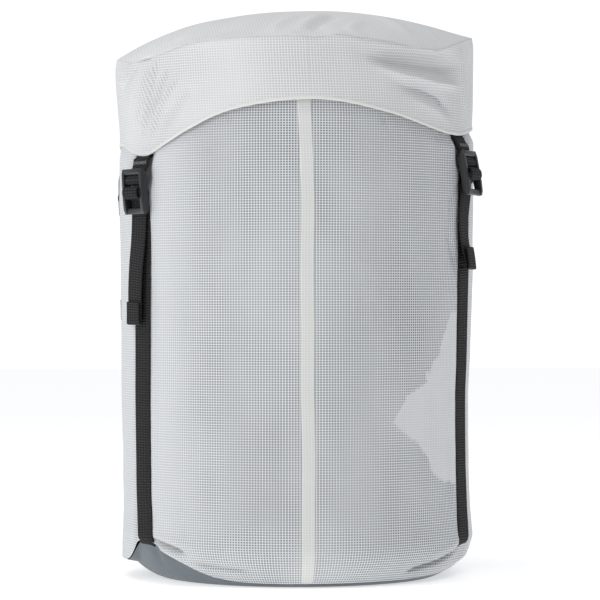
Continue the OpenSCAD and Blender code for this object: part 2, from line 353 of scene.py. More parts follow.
def filled_radius(angle, height):
    """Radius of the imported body: it rounds in to the floor, and its sides are drawn in half way up."""
    side = np.sin(np.radians(angle))
    drop = np.clip((CORNER_H - height) / CORNER_H, 0, 1)
    radius = FLOOR_R + (BODY_R - FLOOR_R) * np.maximum(1 - drop**2, 0) ** 0.78
    right = np.interp(height, *RIGHT_SIDE)
    left = np.interp(height, *LEFT_SIDE)
    return radius + right * smooth(0.35, 1, side) + left * smooth(0.35, 1, -side)


def hangs_free(angle):
    """1 on the left side, where the tube's lower edge hangs clear of the base."""
    return smooth(-66, -72, angle) * smooth(-114, -106, angle)


# For each strap, heights and how far it drifts sideways there, in mm
DRIFTS = [
    ([25, 31, 45, 60, 88, 115, 172, 238, 252, 262], [2.8, 2.5, 1.2, 0.0, -0.8, -0.8, -0.2, 1.8, 1.0, -0.6]),
    ([25, 60, 90, 150, 200, 240, 262], [0.6, 1.4, 1.8, 2.2, 1.0, -0.8, 0]),
    ([25, 120, 200, 262], [-2.0, -1.0, 0.5, 0]),
    ([25, 120, 200, 262], [2.0, 0.8, -0.5, 0]),
]


def strap_drift(i, height):
    """How far a strap drifts sideways, in mm, from the line of its buckle."""
    return np.interp(height, *DRIFTS[i])


def from_strap(angle, i):
    """Arc distance in mm from the line of a strap's buckle, positive to the right."""
    return ((angle - STRAP_ANGLES[i] + 180) % 360 - 180) * math.pi / 180 * BODY_R


def strap_offset(angle, height):
    """Arc distance in mm to the nearest strap's middle."""
    away = [np.abs(from_strap(angle, i) - strap_drift(i, height)) for i in range(len(STRAP_ANGLES))]
    return np.min(away, axis=0)


# Creases of the tube that run from the straps' ends into the body, and the slack beside the straps:
# a route in (degrees, mm), the depth and the width
TUBE_CREASES = [
    ([(-57.5, 30.5), (-54, 29.2), (-48, 26), (-42, 22.6)], -6.0, 1.3),
    ([(-57, 34), (-47, 30.5), (-36, 27)], 1.2, 3.2),
    ([(-54, 25.5), (-48, 21.5), (-42, 17)], 2.2, 2.2),
    ([(-43, 17.5), (-38, 15.8), (-31, 14), (-18, 12)], -3.0, 1.4),
    ([(-42, 12.5), (-33, 10.2), (-20, 8.6)], 0.9, 2.6),
    ([(61, 24), (57.5, 20), (54, 17.6), (50, 14.8), (45.5, 13.1), (41, 11.4), (35, 8.6)], -6.5, 1.5),
    ([(78, 19), (64, 13), (52, 8.6), (40, 4.6)], 2.0, 4.2),
    ([(60, 30), (52, 24), (42, 19)], 1.3, 3.4),
    ([(85, 26), (76, 21), (67, 17)], -1.4, 1.8),
    ([(-92, 22.5), (-80, 21.5), (-68, 25.5)], -1.5, 1.8),
    ([(53, 45), (55, 100), (55, 150), (54, 200)], -1.6, 3.4),
    ([(58, 205), (52.5, 235), (54, 262), (60, 276)], -1.8, 3.6),
    ([(-55, 60), (-56, 140), (-56, 230)], -0.9, 4.0),
]
# Tucks just under the hem: the angle, the length and the depth
HEM_TUCKS = [(-25.7, 7, 2.4), (2.4, 3, 1.2), (23.6, 8, 2.6), (45.7, 6, 2.2)]


def tube_relief(angle, height):
    """How far the filled tube stands out from its round shape, in mm."""
    arc = arc_of(angle)
    beside = strap_offset(angle, height)
    free = 1 - 0.9 * hump(beside, 11)
    low_fade = smooth(3, 22, height)
    out = 1.6 * (1 - hump(beside, 10)) * hump(beside, 34) * low_fade
    out += (0.9 * ripple(arc, height, 62, 120, 1) + 0.4 * ripple(arc, height, 24, 46, 2)) * low_fade * free
    out += 0.16 * ripple(arc, height, 9, 12, 3)
    above_seam = height - bottom_seam(angle)
    gather = np.sin(arc / 4.6 + 7 * ripple(arc, height, 30, 400, 4))
    out += 0.3 * gather * np.exp(-np.maximum(above_seam, 0) / 6) * smooth(0, 14, beside)
    out += 0.3 * ripple(arc * 0.2, height, 40, 7, 5) * hump(arc, 16)
    for route, depth, width in TUBE_CREASES:
        out += depth * along(angle, height, route, width)
    for tuck, drop, depth in HEM_TUCKS:
        top = float(hem_line(np.array(tuck)))
        out -= depth * along(angle, height, [(tuck, top + 2), (tuck + 0.5, top - drop)], 1.3)
    out += 1.0 * along(angle, height, [(25.3, 319), (28, 309)], 1.8)
    # Under the cap the tube is drawn in, most at the right, and each short strap lies in a dent
    side = np.sin(np.radians(angle))
    under = smooth(-10, 0, height - hem_line(angle))
    out = out * (1 - under) - (0.9 + 2.0 * smooth(0.6, 0.95, side)) * under
    for i in range(len(STRAP_ANGLES)):
        dent = np.exp(-((from_strap(angle, i) / 12) ** 4))
        out -= 3.6 * dent * smooth(-1, 9, height - strap_centre(i))
    return out


def tube_radius(angle, height):
    """Radius of the tube, filled or hanging free, with its folds."""
    filled = filled_radius(angle, height) + tube_relief(angle, height)
    hanging = 122.6 + 0.5 * ripple(arc_of(angle), height, 20, 20, 6)
    free = hangs_free(angle) * (1 - smooth(24, 34, height))
    return filled * (1 - free) + hanging * free


def round_from_front(across):
    """Angles for a panel joined at the front, from 0 to 360, with its columns closest there."""
    angle = 360 * across - 20 * np.sin(2 * math.pi * across)
    return np.where(angle > 180, angle - 360, angle)


def cut_from_front(across, angle):
    """Distance in mm along the flat panel from its edge at the front."""
    return np.where(across > 0.5, arc_of(angle) + 2 * math.pi * BODY_R, arc_of(angle))


def tube_place(across, up):
    """A point of the tube, with its place on the flat panel."""
    angle = round_from_front(across)
    low = bottom_seam(angle)
    height = low + np.interp(up, [0, 0.2, 0.97, 1], [0, 0.1, 0.955, 1]) * (MOUTH_Z - low)
    return sack_point(angle, tube_radius(angle, height), height), cut_from_front(across, angle), height


tube = shape(panel("body_tube", 420, 200), tube_place)


def paint(piece, name, values):
    """Stores one number a point, for a material to read."""
    layer = piece.data.attributes.new(name, "FLOAT", "POINT")
    layer.data.foreach_set("value", np.asarray(values, np.float32))


def where(piece):
    """The angle in degrees and the height in mm of each point of a piece."""
    co = np.zeros(len(piece.data.vertices) * 3)
    piece.data.vertices.foreach_get("co", co)
    co = co.reshape(-1, 3) / MM
    return np.degrees(np.arctan2(co[:, 0], -co[:, 1])), co[:, 2]


def tube_load_and_painted_light(angle, height):
    """How hard what is packed presses on the cloth, from 0 to 1: the cells look dark where it does. It also
    holds painted light: it is lower on the front's left, standing in for the left lamp's light, and lower on
    the sides between the straps, as a painted sheen.
    """
    arc = arc_of(angle)
    load_and_painted_light = 0.8 + 0.2 * ripple(arc, height, 60, 90, 11) + 0.12 * ripple(arc, height, 16, 30, 12)
    # Painted light: the front's left is painted paler, standing in for the left lamp's light
    load_and_painted_light *= 1 - 0.72 * smooth(30, 54, -angle) * (angle > -66)
    # Painted sheen: the sides between the straps are painted paler, standing in for the sheen of cloth seen
    # edge on; the cloth there is also looser
    load_and_painted_light *= 1 - 0.75 * smooth(65, 71, np.abs(angle)) * (1 - smooth(109, 115, np.abs(angle)))
    return np.clip(load_and_painted_light, 0, 1)


# Where the cloth stands slack off the load beside the front right strap: (degrees, mm) round the patch
SLACK = [
    (70, 190), (54.5, 184), (49, 166), (47.6, 156), (43.6, 150), (43, 143), (40.5, 146.5), (41.5, 137),
    (32.5, 129), (30.5, 121), (27.2, 111), (31.5, 103), (37, 97), (41.8, 86), (44, 76), (48, 70.5),
    (55, 68.5), (70, 68),
]
SLACK_END = 63


def inside(angle, height, outline):
    """True for points inside an outline of (degrees, mm) points."""
    result = np.zeros(angle.shape, bool)
    for (ax, ay), (bx, by) in zip(outline, outline[1:] + outline[:1]):
        crosses = (ay > height) != (by > height)
        at = ax + (height - ay) / (by - ay if by != ay else 1e-9) * (bx - ax)
        result ^= crosses & (angle < at)
    return result


tube_angle, tube_height = where(tube)
slack = inside(tube_angle, tube_height, SLACK) & (tube_angle < SLACK_END)
slack_load = 0.06 + 0.1 * ripple(arc_of(tube_angle), tube_height, 14, 20, 13)
# The tube's cell greyness: the load behind the cloth, with painted light on the front's left and a painted
# sheen on the sides
paint(tube, "load_and_painted_light", np.where(slack, slack_load, tube_load_and_painted_light(tube_angle, tube_height)))


THREAD_PITCH = (1.92 * MM, 1.72 * MM)
THREAD_SHARE = 0.34
THREAD_SOFT = 0.14


# The colour sockets of a mix node, whose sockets share their names between kinds of value
MIX_COLOUR_A, MIX_COLOUR_B, MIX_RESULT = 6, 7, 2


def blended(tree, factor, colour_a, colour_b):
    """Output of a node that blends two colours."""
    mix = {"Factor": factor, MIX_COLOUR_A: colour_a, MIX_COLOUR_B: colour_b}
    return add(tree, "ShaderNodeMix", mix, data_type="RGBA").outputs[MIX_RESULT]


def roughen(tree, shader, height, strength, distance):
    """Gives a shader fine relief from a height."""
    relief = {"Height": height, "Strength": strength, "Distance": distance}
    tree.links.new(add(tree, "ShaderNodeBump", relief).outputs[0], shader.inputs["Normal"])


def ripstop(name, cell_dark, cell_light, thread):
    """Thin nylon woven with a raised square grid: pale threads over cells that show what lies behind; a
    point attribute greys the cells, and it also carries painted light and shade.
    """
    material, tree, shader = plain_material(name, Roughness=0.6)
    shader.inputs["Specular IOR Level"].default_value = 0.25
    shader.inputs["Sheen Weight"].default_value = 0.12
    shader.inputs["Sheen Roughness"].default_value = 0.5
    uv = add(tree, "ShaderNodeTexCoord").outputs["UV"]
    split = add(tree, "ShaderNodeSeparateXYZ", {0: uv})
    near = []
    for axis, pitch in zip("XY", THREAD_PITCH):
        turns = add(tree, "ShaderNodeMath", {0: split.outputs[axis], 1: 2 / pitch}, operation="MULTIPLY")
        swing = add(tree, "ShaderNodeMath", {0: turns.outputs[0], 1: 1.0}, operation="PINGPONG")
        low, high = THREAD_SHARE + THREAD_SOFT, THREAD_SHARE - THREAD_SOFT
        edge = {"Value": swing.outputs[0], "From Min": low, "From Max": high}
        near.append(add(tree, "ShaderNodeMapRange", edge, interpolation_type="SMOOTHSTEP").outputs[0])
    grid = add(tree, "ShaderNodeMath", {0: near[0], 1: near[1]}, operation="MAXIMUM").outputs[0]
    load_and_painted_light = add(tree, "ShaderNodeAttribute", attribute_name="load_and_painted_light").outputs["Fac"]
    cells = blended(tree, load_and_painted_light, linear(cell_light), linear(cell_dark))
    tree.links.new(blended(tree, grid, cells, linear(thread)), shader.inputs["Base Color"])
    place = add(tree, "ShaderNodeTexCoord").outputs["Object"]
    creased = {"Vector": place, "Scale": 140.0, "Detail": 4.0, "Roughness": 0.6}
    crinkle = add(tree, "ShaderNodeTexNoise", creased)
    soft = add(tree, "ShaderNodeBump", {"Height": crinkle.outputs[0], "Strength": 0.25, "Distance": 0.0011})
    raised = add(
        tree,
        "ShaderNodeBump",
        {"Height": grid, "Strength": 0.35, "Distance": 0.0002, "Normal": soft.outputs[0]},
    )
    tree.links.new(raised.outputs[0], shader.inputs["Normal"])
    return material


body_cloth = ripstop("ripstop_over_load_and_painted_light", "#696e74", "#cdcfcf", "#dcdee0")
tube.data.materials.append(body_cloth)
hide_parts("body_tube")
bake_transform(tube)

# ---------------------------------------------------------------------------
# Felled seam: the panel's two edges folded into each other and sewn flat down
# the front. Four layers of cloth, so it is paler and stands a little proud.
SEAM_W = 9.2
SEAM_TOP = 336.0
SEAM_FOOT = 3.2


def seam_place(across, up):
    """A point of the seam strip, which lies on the tube."""
    side = (across - 0.5) * SEAM_W
    height = SEAM_FOOT + up * (SEAM_TOP - SEAM_FOOT)
    wander = np.interp(height, [0, 193, 262, 285, 334], [-1.7, -2.0, -2.3, -2.8, -5.2])
    wander += 0.25 * np.sin(height / 37) + 0.15 * np.sin(height / 13 + 1)
    angle = np.degrees((side + wander) / BODY_R)
    edge = np.abs(side) / (SEAM_W / 2)
    rise = 0.75 * np.sqrt(np.maximum(1 - edge**6, 0)) - 0.25
    rise += 0.3 * hump(side - SEAM_W * 0.42, 0.6)
    return sack_point(angle, tube_radius(angle, height) + rise, height), side, height


seam = shape(panel("front_seam", 24, 200), seam_place, closed=False)
paint(seam, "load_and_painted_light", np.full(len(seam.data.vertices), 0.25))
seam.data.materials.append(ripstop("felled_ripstop_seam", "#bfc1c2", "#d2d3d2", "#dedfdb"))
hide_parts("front_seam")
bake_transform(seam)

# ---------------------------------------------------------------------------
# Base: a disc of slate coated nylon whose edge rises to each strap, sewn to
# the tube. It lies flat on the floor and creases softly round its corner.
WALL_SHARE = 0.5
BASE_IN = 0.8


def base_place(across, up):
    """A point of the base: its wall first, then its flat underside."""
    angle = across * 360 - 180
    seam_z = bottom_seam(angle) - 0.4
    down = np.clip(1 - up / WALL_SHARE, 0, 1)
    height = seam_z * down**1.3
    arc = arc_of(angle)
    out = 0.7 * ripple(arc, height, 20, 60, 21) + 0.6 * ripple(arc, height, 9, 40, 22)
    out -= 1.6 * along(angle, height, [(-57.5, 29), (-56, 20), (-58, 10)], 2.0)
    out += 1.0 * along(angle, height, [(-62, 28), (-62, 18), (-64, 8)], 4.0)
    radius = filled_radius(angle, height) - BASE_IN + out * smooth(0, 0.1, up) * down
    radius += hangs_free(angle) * (122 - radius) * (1 - smooth(0, 0.06, up))
    inner = np.clip((up - WALL_SHARE) / (1 - WALL_SHARE), 0, 1)
    radius = np.where(up > WALL_SHARE, (FLOOR_R - BASE_IN) * (1 - inner) + 0.01, radius)
    return sack_point(angle, radius, np.maximum(height, 0.12)), arc, up * 140


base = shape(panel("bottom_panel", 260, 70), base_place)


def coated_nylon(name, dark, light):
    """A tight plain weave under a thin satin coating: dark, smooth and a little glossy."""
    material, tree, shader = plain_material(name, Roughness=0.48)
    place = add(tree, "ShaderNodeTexCoord").outputs["Object"]
    cloud = add(tree, "ShaderNodeTexNoise", {"Vector": place, "Scale": 60.0, "Detail": 5.0})
    tree.links.new(blended(tree, cloud.outputs[0], linear(dark), linear(light)), shader.inputs["Base Color"])
    weave = add(tree, "ShaderNodeTexNoise", {"Vector": place, "Scale": 1400.0, "Detail": 1.0})
    roughen(tree, shader, weave.outputs[0], 0.3, 0.0002)
    return material


base.data.materials.append(coated_nylon("coated_nylon_slate", "#5a6268", "#6f787e"))
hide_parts("bottom_panel")
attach(base, "sack")

# ---------------------------------------------------------------------------
# Cap skirt: a band of ripstop that hangs from the domed top over the tube's
# end. Its hem arches between the straps; pulled down at them, it folds.
CAP_R = 126.6
CAP_CLOTH_T = 0.35
top_seam = through(
    [
        (-180, 368.5), (-150, 366), (-125, 359), (-105, 357.5), (-92, 361), (-84, 361), (-75, 358),
        (-62, 356.3), (-54, 357.6), (-44, 362.2), (-35, 365.6), (-25, 367), (-15, 367.8), (-3, 368.2),
        (3, 367.3), (10, 369.4), (17, 367.7), (28, 365.4), (35, 363.7), (42, 362.5), (48, 363.4),
        (56, 367.5), (66, 372.5), (80, 376.5), (92, 376.5), (108, 372), (125, 368), (150, 369), (180, 368.5),
    ]
)


# Folds of the skirt: a route in (degrees, mm), the depth and the width
SKIRT_FOLDS = [
    ([(-50, 361), (-53, 345), (-57.5, 322), (-61.5, 300)], 4.6, 2.0),
    ([(-55.5, 357), (-58.5, 342), (-63, 322), (-66, 303)], -3.6, 3.0),
    ([(-42, 344), (-48, 330), (-53, 315), (-57, 298)], 4.0, 1.9),
    ([(-45, 352), (-51, 334), (-56, 314)], -3.2, 2.4),
    ([(-36, 338), (-43, 324), (-51, 308)], -2.8, 3.0),
    ([(-31, 332), (-39, 320), (-48, 306)], 1.0, 3.0),
    ([(-62, 358), (-70, 349), (-77, 339)], 4.2, 2.4),
    ([(-56, 360), (-64, 352), (-71, 343)], -2.2, 2.6),
    ([(-66, 345), (-68, 325), (-66, 305)], 1.4, 3.4),
    ([(17, 357), (28, 354), (40, 352), (52, 352), (60, 354)], -8.4, 6.0),
    ([(36, 358), (46, 357), (56, 360)], -2.6, 5.5),
    ([(19, 350), (30, 344), (44, 339.5), (60, 339.5)], 4.0, 3.0),
    ([(28, 338), (38, 334), (46, 329.5), (53, 321)], -3.6, 3.6),
    ([(32, 329), (44, 321), (54, 312)], 1.4, 4.0),
    ([(44, 359), (47.5, 362.5), (51, 368)], 4.2, 1.9),
    ([(60, 369), (62, 345), (64, 318)], 2.4, 3.2),
    ([(72, 366), (72, 340), (70, 318)], -1.6, 3.6),
    ([(117, 360), (114, 335), (115, 310)], 2.6, 3.2),
    ([(108, 358), (109, 335), (112, 314)], -2.0, 3.2),
    ([(-117, 352), (-113, 330), (-115, 300)], 2.6, 3.2),
    ([(-126, 350), (-122, 330), (-119, 305)], -2.0, 3.2),
    ([(135, 352), (152, 345), (170, 350)], -3.6, 5.0),
    ([(-130, 346), (-150, 340), (-168, 347)], -3.0, 5.0),
    ([(84, 362), (96, 340), (92, 318)], -1.8, 6.0),
    ([(-84, 352), (-92, 330), (-88, 308)], -1.4, 6.0),
]
# Heights in mm, and how far in or out the skirt's left and right sides stand there
SKIRT_LEFT = ([300, 313, 327, 348, 356, 364], [-1.2, -0.9, -0.4, -0.9, -1.8, -3.0])
SKIRT_RIGHT = ([308, 313, 327, 348, 362, 370], [-3.4, -3.4, -2.2, -1.0, -0.1, 0.3])


def skirt_relief(angle, height):
    """Folds of the skirt, in mm out, at the height that the point has once the cap leans."""
    arc = arc_of(angle)
    below = top_seam(angle) - height
    above = height - hem_line(angle)
    side = np.sin(np.radians(angle))
    out = 0.9 * ripple(arc, height, 40, 60, 31) + 0.45 * ripple(arc, height, 16, 40, 32)
    for route, depth, width in SKIRT_FOLDS:
        out += depth * along(angle, height, route, width)
    out *= smooth(0, 6, below) * (0.3 + 0.7 * smooth(0, 14, above))
    # The skirt does not fold in where a short strap is sewn inside it
    for i in range(len(STRAP_ANGLES)):
        sewn = np.exp(-((from_strap(angle, i) / 14) ** 4)) * (1 - smooth(16, 28, above))
        out += sewn * np.maximum(-0.2 - out, 0)
    # The cap is drawn in at its top on the left, and at its hem on the right
    out += np.interp(height, *SKIRT_LEFT) * smooth(0.55, 0.95, -side)
    out += np.interp(height, *SKIRT_RIGHT) * smooth(0.55, 0.95, side)
    return out - 1.7 * hump(below, 1.1) * seam_shows(angle)


def seam_shows(angle):
    """How deep the top seam lies: it shows on the front and rear, and smooths out at the sides."""
    front = smooth(-52, -45, angle) * (1 - smooth(30, 38, angle))
    crease = smooth(-63.5, -61, angle) * (1 - smooth(-56, -54, angle))
    rear = smooth(125, 140, np.abs(angle))
    return np.maximum(np.maximum(front, 1.6 * crease), rear)


def skirt_place(across, up):
    """A point of the skirt, with its place on the flat panel."""
    angle = round_from_front(across)
    low = hem_line(angle)
    seen = low + up * (top_seam(angle) - low)
    radius = CAP_R + skirt_relief(angle, seen)
    return lean(sack_point(angle, radius, unlean(angle, seen))), cut_from_front(across, angle), seen


skirt = shape(panel("cap_skirt", 420, 80), skirt_place)


def cap_air_and_painted_shade(angle, height):
    """The cap has mostly air behind it, so its cells are pale; they are painted greyer right of the front
    and at the folds on the left, as painted shade on the cap's shaded right side and in those folds.
    """
    load_and_painted_light = 0.3 + 0.4 * ripple(arc_of(angle), height, 45, 40, 41)
    # Painted shade: greyer cells right of the front, on the cap's shaded side, and in the folds on the left
    load_and_painted_light += 0.3 * hump(angle - 20, 24) + 0.3 * hump(angle + 50, 10)
    return np.clip(load_and_painted_light, 0, 1)


skirt_angle, skirt_height = where(skirt)
paint(skirt, "load_and_painted_light", cap_air_and_painted_shade(skirt_angle, skirt_height))
thicken(skirt, CAP_CLOTH_T)
cap_cloth = ripstop("ripstop_single_layer_with_painted_light", "#a6aaac", "#d3d5d6", "#e1e2e1")
skirt.data.materials.append(cap_cloth)
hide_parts("cap_skirt")
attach(skirt, "cap")

# ---------------------------------------------------------------------------
# Cap top: a round of the same ripstop, domed over the closed mouth, sewn to
# the skirt with the seam turned in, which gathers it in small puckers.
DOME_RISE = 27.0
DOME_FOOT = 367.75
# Puckers across the dome: two ends (x, y) in mm, the depth and the width
DOME_PUCKERS = [
    ((-6, -120), (22, -64), 2.4, 4.0),
    ((2, -120), (30, -70), -2.0, 4.0),
    ((-24, -118), (0, -72), 1.6, 4.0),
    ((28, -118), (42, -84), 1.5, 3.4),
    ((-88, -84), (-50, -50), 1.4, 6.0),
    ((74, -96), (50, -50), 1.4, 6.0),
    ((80, 70), (30, 40), 1.6, 8.0),
    ((-80, 80), (-30, 30), 1.4, 8.0),
]


def dome_place(across, up):
    """A point of the domed top, with its place on the flat round."""
    angle = across * 360 - 180
    turn = np.radians(angle)
    share = 1 - up**1.25
    fullness = 2.35 - 0.35 * np.sin(turn)
    height = DOME_FOOT + DOME_RISE * (1 - share**fullness)
    height += (unlean(angle, top_seam(angle)) - DOME_FOOT) * share**12
    arc = arc_of(angle)
    x, y = share * CAP_R * np.sin(turn), -share * CAP_R * np.cos(turn)
    height += 0.9 * ripple(arc, share * 100, 9, 30, 51) * share**8 * (1 - share**60)
    height += 0.9 * ripple(x, y, 40, 40, 52) * (1 - share**20)
    for start, end, depth, width in DOME_PUCKERS:
        away, t = to_line(x, y, start, end)
        height += depth * hump(away, width) * smooth(0, 0.2, t) * smooth(0, 0.4, 1 - t)
    rim = skirt_relief(angle, top_seam(angle))
    radius = share * CAP_R + rim * share**6 + 2.2 * seam_shows(angle) * share**14 * (1 - share**70)
    return lean(sack_point(angle, np.maximum(radius, 0.01), height)), x, y


dome = shape(panel("cap_top", 300, 90), dome_place)
dome_angle, dome_height = where(dome)
# Painted light: the domed top's cells are painted paler, standing in for the light it catches from above, as
# well as for the air behind them
dome_air_and_painted_light = 0.05 + 0.25 * ripple(arc_of(dome_angle), dome_height, 30, 20, 61)
paint(dome, "load_and_painted_light", np.clip(dome_air_and_painted_light, 0, 1))
thicken(dome, CAP_CLOTH_T)
dome.data.materials.append(cap_cloth)
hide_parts("cap_top")
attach(dome, "cap")

# ---------------------------------------------------------------------------
# Hem binding: a narrow ivory tape folded round the skirt's edge and stitched,
# so it stands a little proud and throws a thin shadow on the tube.
HEM_H = 2.6
HEM_T = 1.0


def hem_place(across, up):
    """A point of the binding, which is wrapped round the skirt's edge."""
    angle = across * 360 - 180
    around = up * 2 * math.pi
    height = hem_line(angle) + 0.7 + HEM_H / 2 * np.sin(around)
    height += 0.2 * ripple(arc_of(angle), 0 * angle, 14, 10, 71)
    rim = skirt_relief(angle, hem_line(angle) + 1)
    out = CAP_R + rim - 0.1 + HEM_T / 2 * np.cos(around)
    return lean(sack_point(angle, out, unlean(angle, height))), arc_of(angle), up * 8


hem = shape(panel("cap_hem", 400, 10), hem_place)


def ivory_tape(name, colour):
    """Woven polyester tape: ivory, matt, with a fine cross rib."""
    material, tree, shader = plain_material(name, Base_Color=linear(colour), Roughness=0.75)
    uv = add(tree, "ShaderNodeTexCoord").outputs["UV"]
    rib = add(tree, "ShaderNodeTexWave", {"Vector": uv, "Scale": 330.0, "Distortion": 0.5})
    roughen(tree, shader, rib.outputs[0], 0.25, 0.0002)
    return material


hem.data.materials.append(ivory_tape("polyester_tape_ivory", "#dddeda"))
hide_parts("cap_hem")
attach(hem, "cap")

# ---------------------------------------------------------------------------
# Webbing: 20 mm charcoal polyester straps, woven with a cross rib. Each runs
# from the bottom seam to a buckle, loops over its middle bar and hangs on.
WEB_W = 20.0
WEB_T = 1.5
RIB_PITCH = {"Y": 1.8 * MM, "X": 1.3 * MM}
CORNERS = ["front_left", "front_right", "rear_left", "rear_right"]


def webbing_cloth(name, dark, light):
    """Polyester yarn woven with ribs along and across; the rib crests are painted lighter as a painted
    highlight.
    """
    material, tree, shader = plain_material(name, Roughness=0.75)
    shader.inputs["Specular IOR Level"].default_value = 0.2
    uv = add(tree, "ShaderNodeTexCoord").outputs["UV"]
    split = add(tree, "ShaderNodeSeparateXYZ", {0: uv})
    waves = []
    for axis, pitch in RIB_PITCH.items():
        scaled = {0: split.outputs[axis], 1: 2 * math.pi / pitch}
        turns = add(tree, "ShaderNodeMath", scaled, operation="MULTIPLY")
        wave = add(tree, "ShaderNodeMath", {0: turns.outputs[0]}, operation="SINE")
        positive = {"Value": wave.outputs[0], "From Min": -1.0}
        waves.append(add(tree, "ShaderNodeMapRange", positive).outputs[0])
    rib = add(tree, "ShaderNodeMath", {0: waves[0], 1: waves[1]}, operation="MULTIPLY")
    height = add(tree, "ShaderNodeMath", {0: waves[0], 1: rib.outputs[0]}, operation="ADD")
    # Painted highlight: the rib crests take the lighter colour
    tree.links.new(blended(tree, rib.outputs[0], linear(dark), linear(light)), shader.inputs["Base Color"])
    roughen(tree, shader, height.outputs[0], 0.7, 0.0004)
    return material


webbing = webbing_cloth("polyester_webbing_charcoal", "#171718", "#424243")
thread = webbing_cloth("polyester_thread_grey", "#6c6c6f", "#a2a2a5")


def smooth_route(route, steps):
    """Points evenly spaced on a smooth curve through a route, with the total length."""
    points = np.array(route, float)
    padded = np.vstack([2 * points[0] - points[1], points, 2 * points[-1] - points[-2]])
    dense = []
    for p0, p1, p2, p3 in zip(padded, padded[1:], padded[2:], padded[3:]):
        for t in np.linspace(0, 1, 24, endpoint=False):
            square = (2 * p0 - 5 * p1 + 4 * p2 - p3) * t**2
            cube = (3 * p1 - p0 - 3 * p2 + p3) * t**3
            dense.append(0.5 * (2 * p1 + (p2 - p0) * t + square + cube))
    dense.append(points[-1])
    dense = np.array(dense)
    gone = np.concatenate([[0], np.cumsum(np.linalg.norm(np.diff(dense, axis=0), axis=1))])
    wanted = np.linspace(0, gone[-1], steps + 1)
    return np.stack([np.interp(wanted, gone, dense[:, k]) for k in range(3)], axis=-1), gone[-1]


# How far each buckle tilts at rest, top outwards, in degrees, about a point TILT_OUT mm off the body
TILT = [3.0, -11.0, 0.0, -4.0]
TILT_OUT = 5.0


def tilted(corner, route):
    """Turns (out, sideways, up) points with the corner's buckle about its middle."""
    turn, middle = math.radians(TILT[corner]), strap_centre(corner)
    c, s = math.cos(turn), math.sin(turn)
    turned = []
    for out, side, up in route:
        n, z = out - TILT_OUT, up - middle
        turned.append((TILT_OUT + n * c + z * s, side, middle - n * s + z * c))
    return turned


def strap_piece(
    name, corner, route, width=WEB_W, thickness=WEB_T, turn=0.0, steps=40, cloth=webbing, columns=20
):
    """Webbing along a route of (out, sideways, up) points in mm, measured from the body's surface at a
    corner. turn twists it steadily, in degrees, from its start to its end."""
    centre, length = smooth_route(route, steps)
    rows = len(centre) - 1
    heading = np.gradient(centre, axis=0)
    heading /= np.linalg.norm(heading, axis=1)[:, None]
    twist = np.radians(turn) * np.linspace(0, 1, rows + 1)
    side = np.stack([np.sin(twist), np.cos(twist), 0 * twist], axis=-1)
    side -= heading * np.sum(side * heading, axis=1)[:, None]
    side /= np.linalg.norm(side, axis=1)[:, None]
    face = np.cross(side, heading)
    piece = panel(name, columns, rows)

    def place(across, up):
        row = np.rint(up * rows).astype(int)
        around = across * 2 * math.pi
        wide = np.sign(np.cos(around)) * np.abs(np.cos(around)) ** 0.45 * width / 2
        deep = np.sign(np.sin(around)) * np.abs(np.sin(around)) ** 0.6 * thickness / 2
        local = centre[row] + side[row] * wide[:, None] + face[row] * deep[:, None]
        turn_z = math.radians(STRAP_ANGLES[corner])
        out = np.array([math.sin(turn_z), -math.cos(turn_z), 0])
        sideways = np.array([math.cos(turn_z), math.sin(turn_z), 0])
        point = (
            (BODY_R + local[:, 0])[:, None] * out
            + local[:, 1][:, None] * sideways
            + local[:, 2][:, None] * np.array([0, 0, 1])
        )
        return point, across * width * 2.1, up * length

    shape(piece, place)
    bpy.ops.object.mode_set(mode="EDIT")
    bpy.ops.mesh.select_mode(type="EDGE")
    bpy.ops.mesh.select_all(action="DESELECT")
    bpy.ops.mesh.select_non_manifold()
    bpy.ops.mesh.fill_holes(sides=0)
    bpy.ops.object.mode_set(mode="OBJECT")
    piece.data.materials.append(cloth)
    return piece


ZIGZAG_TURNS = 16


def zigzag(name, corner, out, middle, height, half_width, lean_out):
    """A row of zigzag thread across a strap, standing just proud of its face."""
    route = []
    for k in range(ZIGZAG_TURNS + 1):
        share = k / ZIGZAG_TURNS
        up = middle + (height / 2 if k % 2 else -height / 2)
        route.append((out + lean_out * (up - middle), (share * 2 - 1) * half_width, up))
    return strap_piece(name, corner, route, width=0.6, thickness=0.5, steps=96, cloth=thread, columns=8)


# A strap starts just under the bottom seam, which stands at REAR_SEAM_Z by the rear straps; the front
# right one starts lower, at RIGHT_FOOT
FOOT_BELOW_SEAM = 2.2
LOWEST_FOOT, RIGHT_FOOT, REAR_SEAM_Z = 24.0, 24.5, 27.5
TAIL_END = [176.5, 214.5, 178.0, 204.0]
SPLIT_LOW, SPLIT_HIGH = 214.0, 216.0

# Each hanging tail from its buckle to its folded end, as (out, sideways, share of the way down)
TAIL_ROUTES = [
    [(3.1, 0.4, 0.1), (3.4, -0.6, 0.3), (3.9, -2.6, 0.5), (4.0, -4.0, 0.7), (3.6, -4.8, 0.86)],
    [(2.9, -1.6, 0.12), (2.7, -3.6, 0.3), (2.8, -4.6, 0.5), (3.4, -3.6, 0.68), (5.2, -1.4, 0.86)],
    [(3.2, 0.5, 0.1), (4.0, 1.6, 0.35), (4.6, 3.2, 0.6), (4.2, 4.2, 0.86)],
    [(3.2, -0.4, 0.1), (4.0, -1.4, 0.35), (4.6, -2.6, 0.6), (4.4, -3.2, 0.86)],
]
TAIL_TWIST = [5.0, -7.0, 4.0, -4.0]
# For the left and right short straps: how far out they lie at three heights, and how far they lean sideways
TAB_LIE = [(1.9, 0.2, -2.3, -1.0), (1.2, -0.8, -3.1, -2.4)]

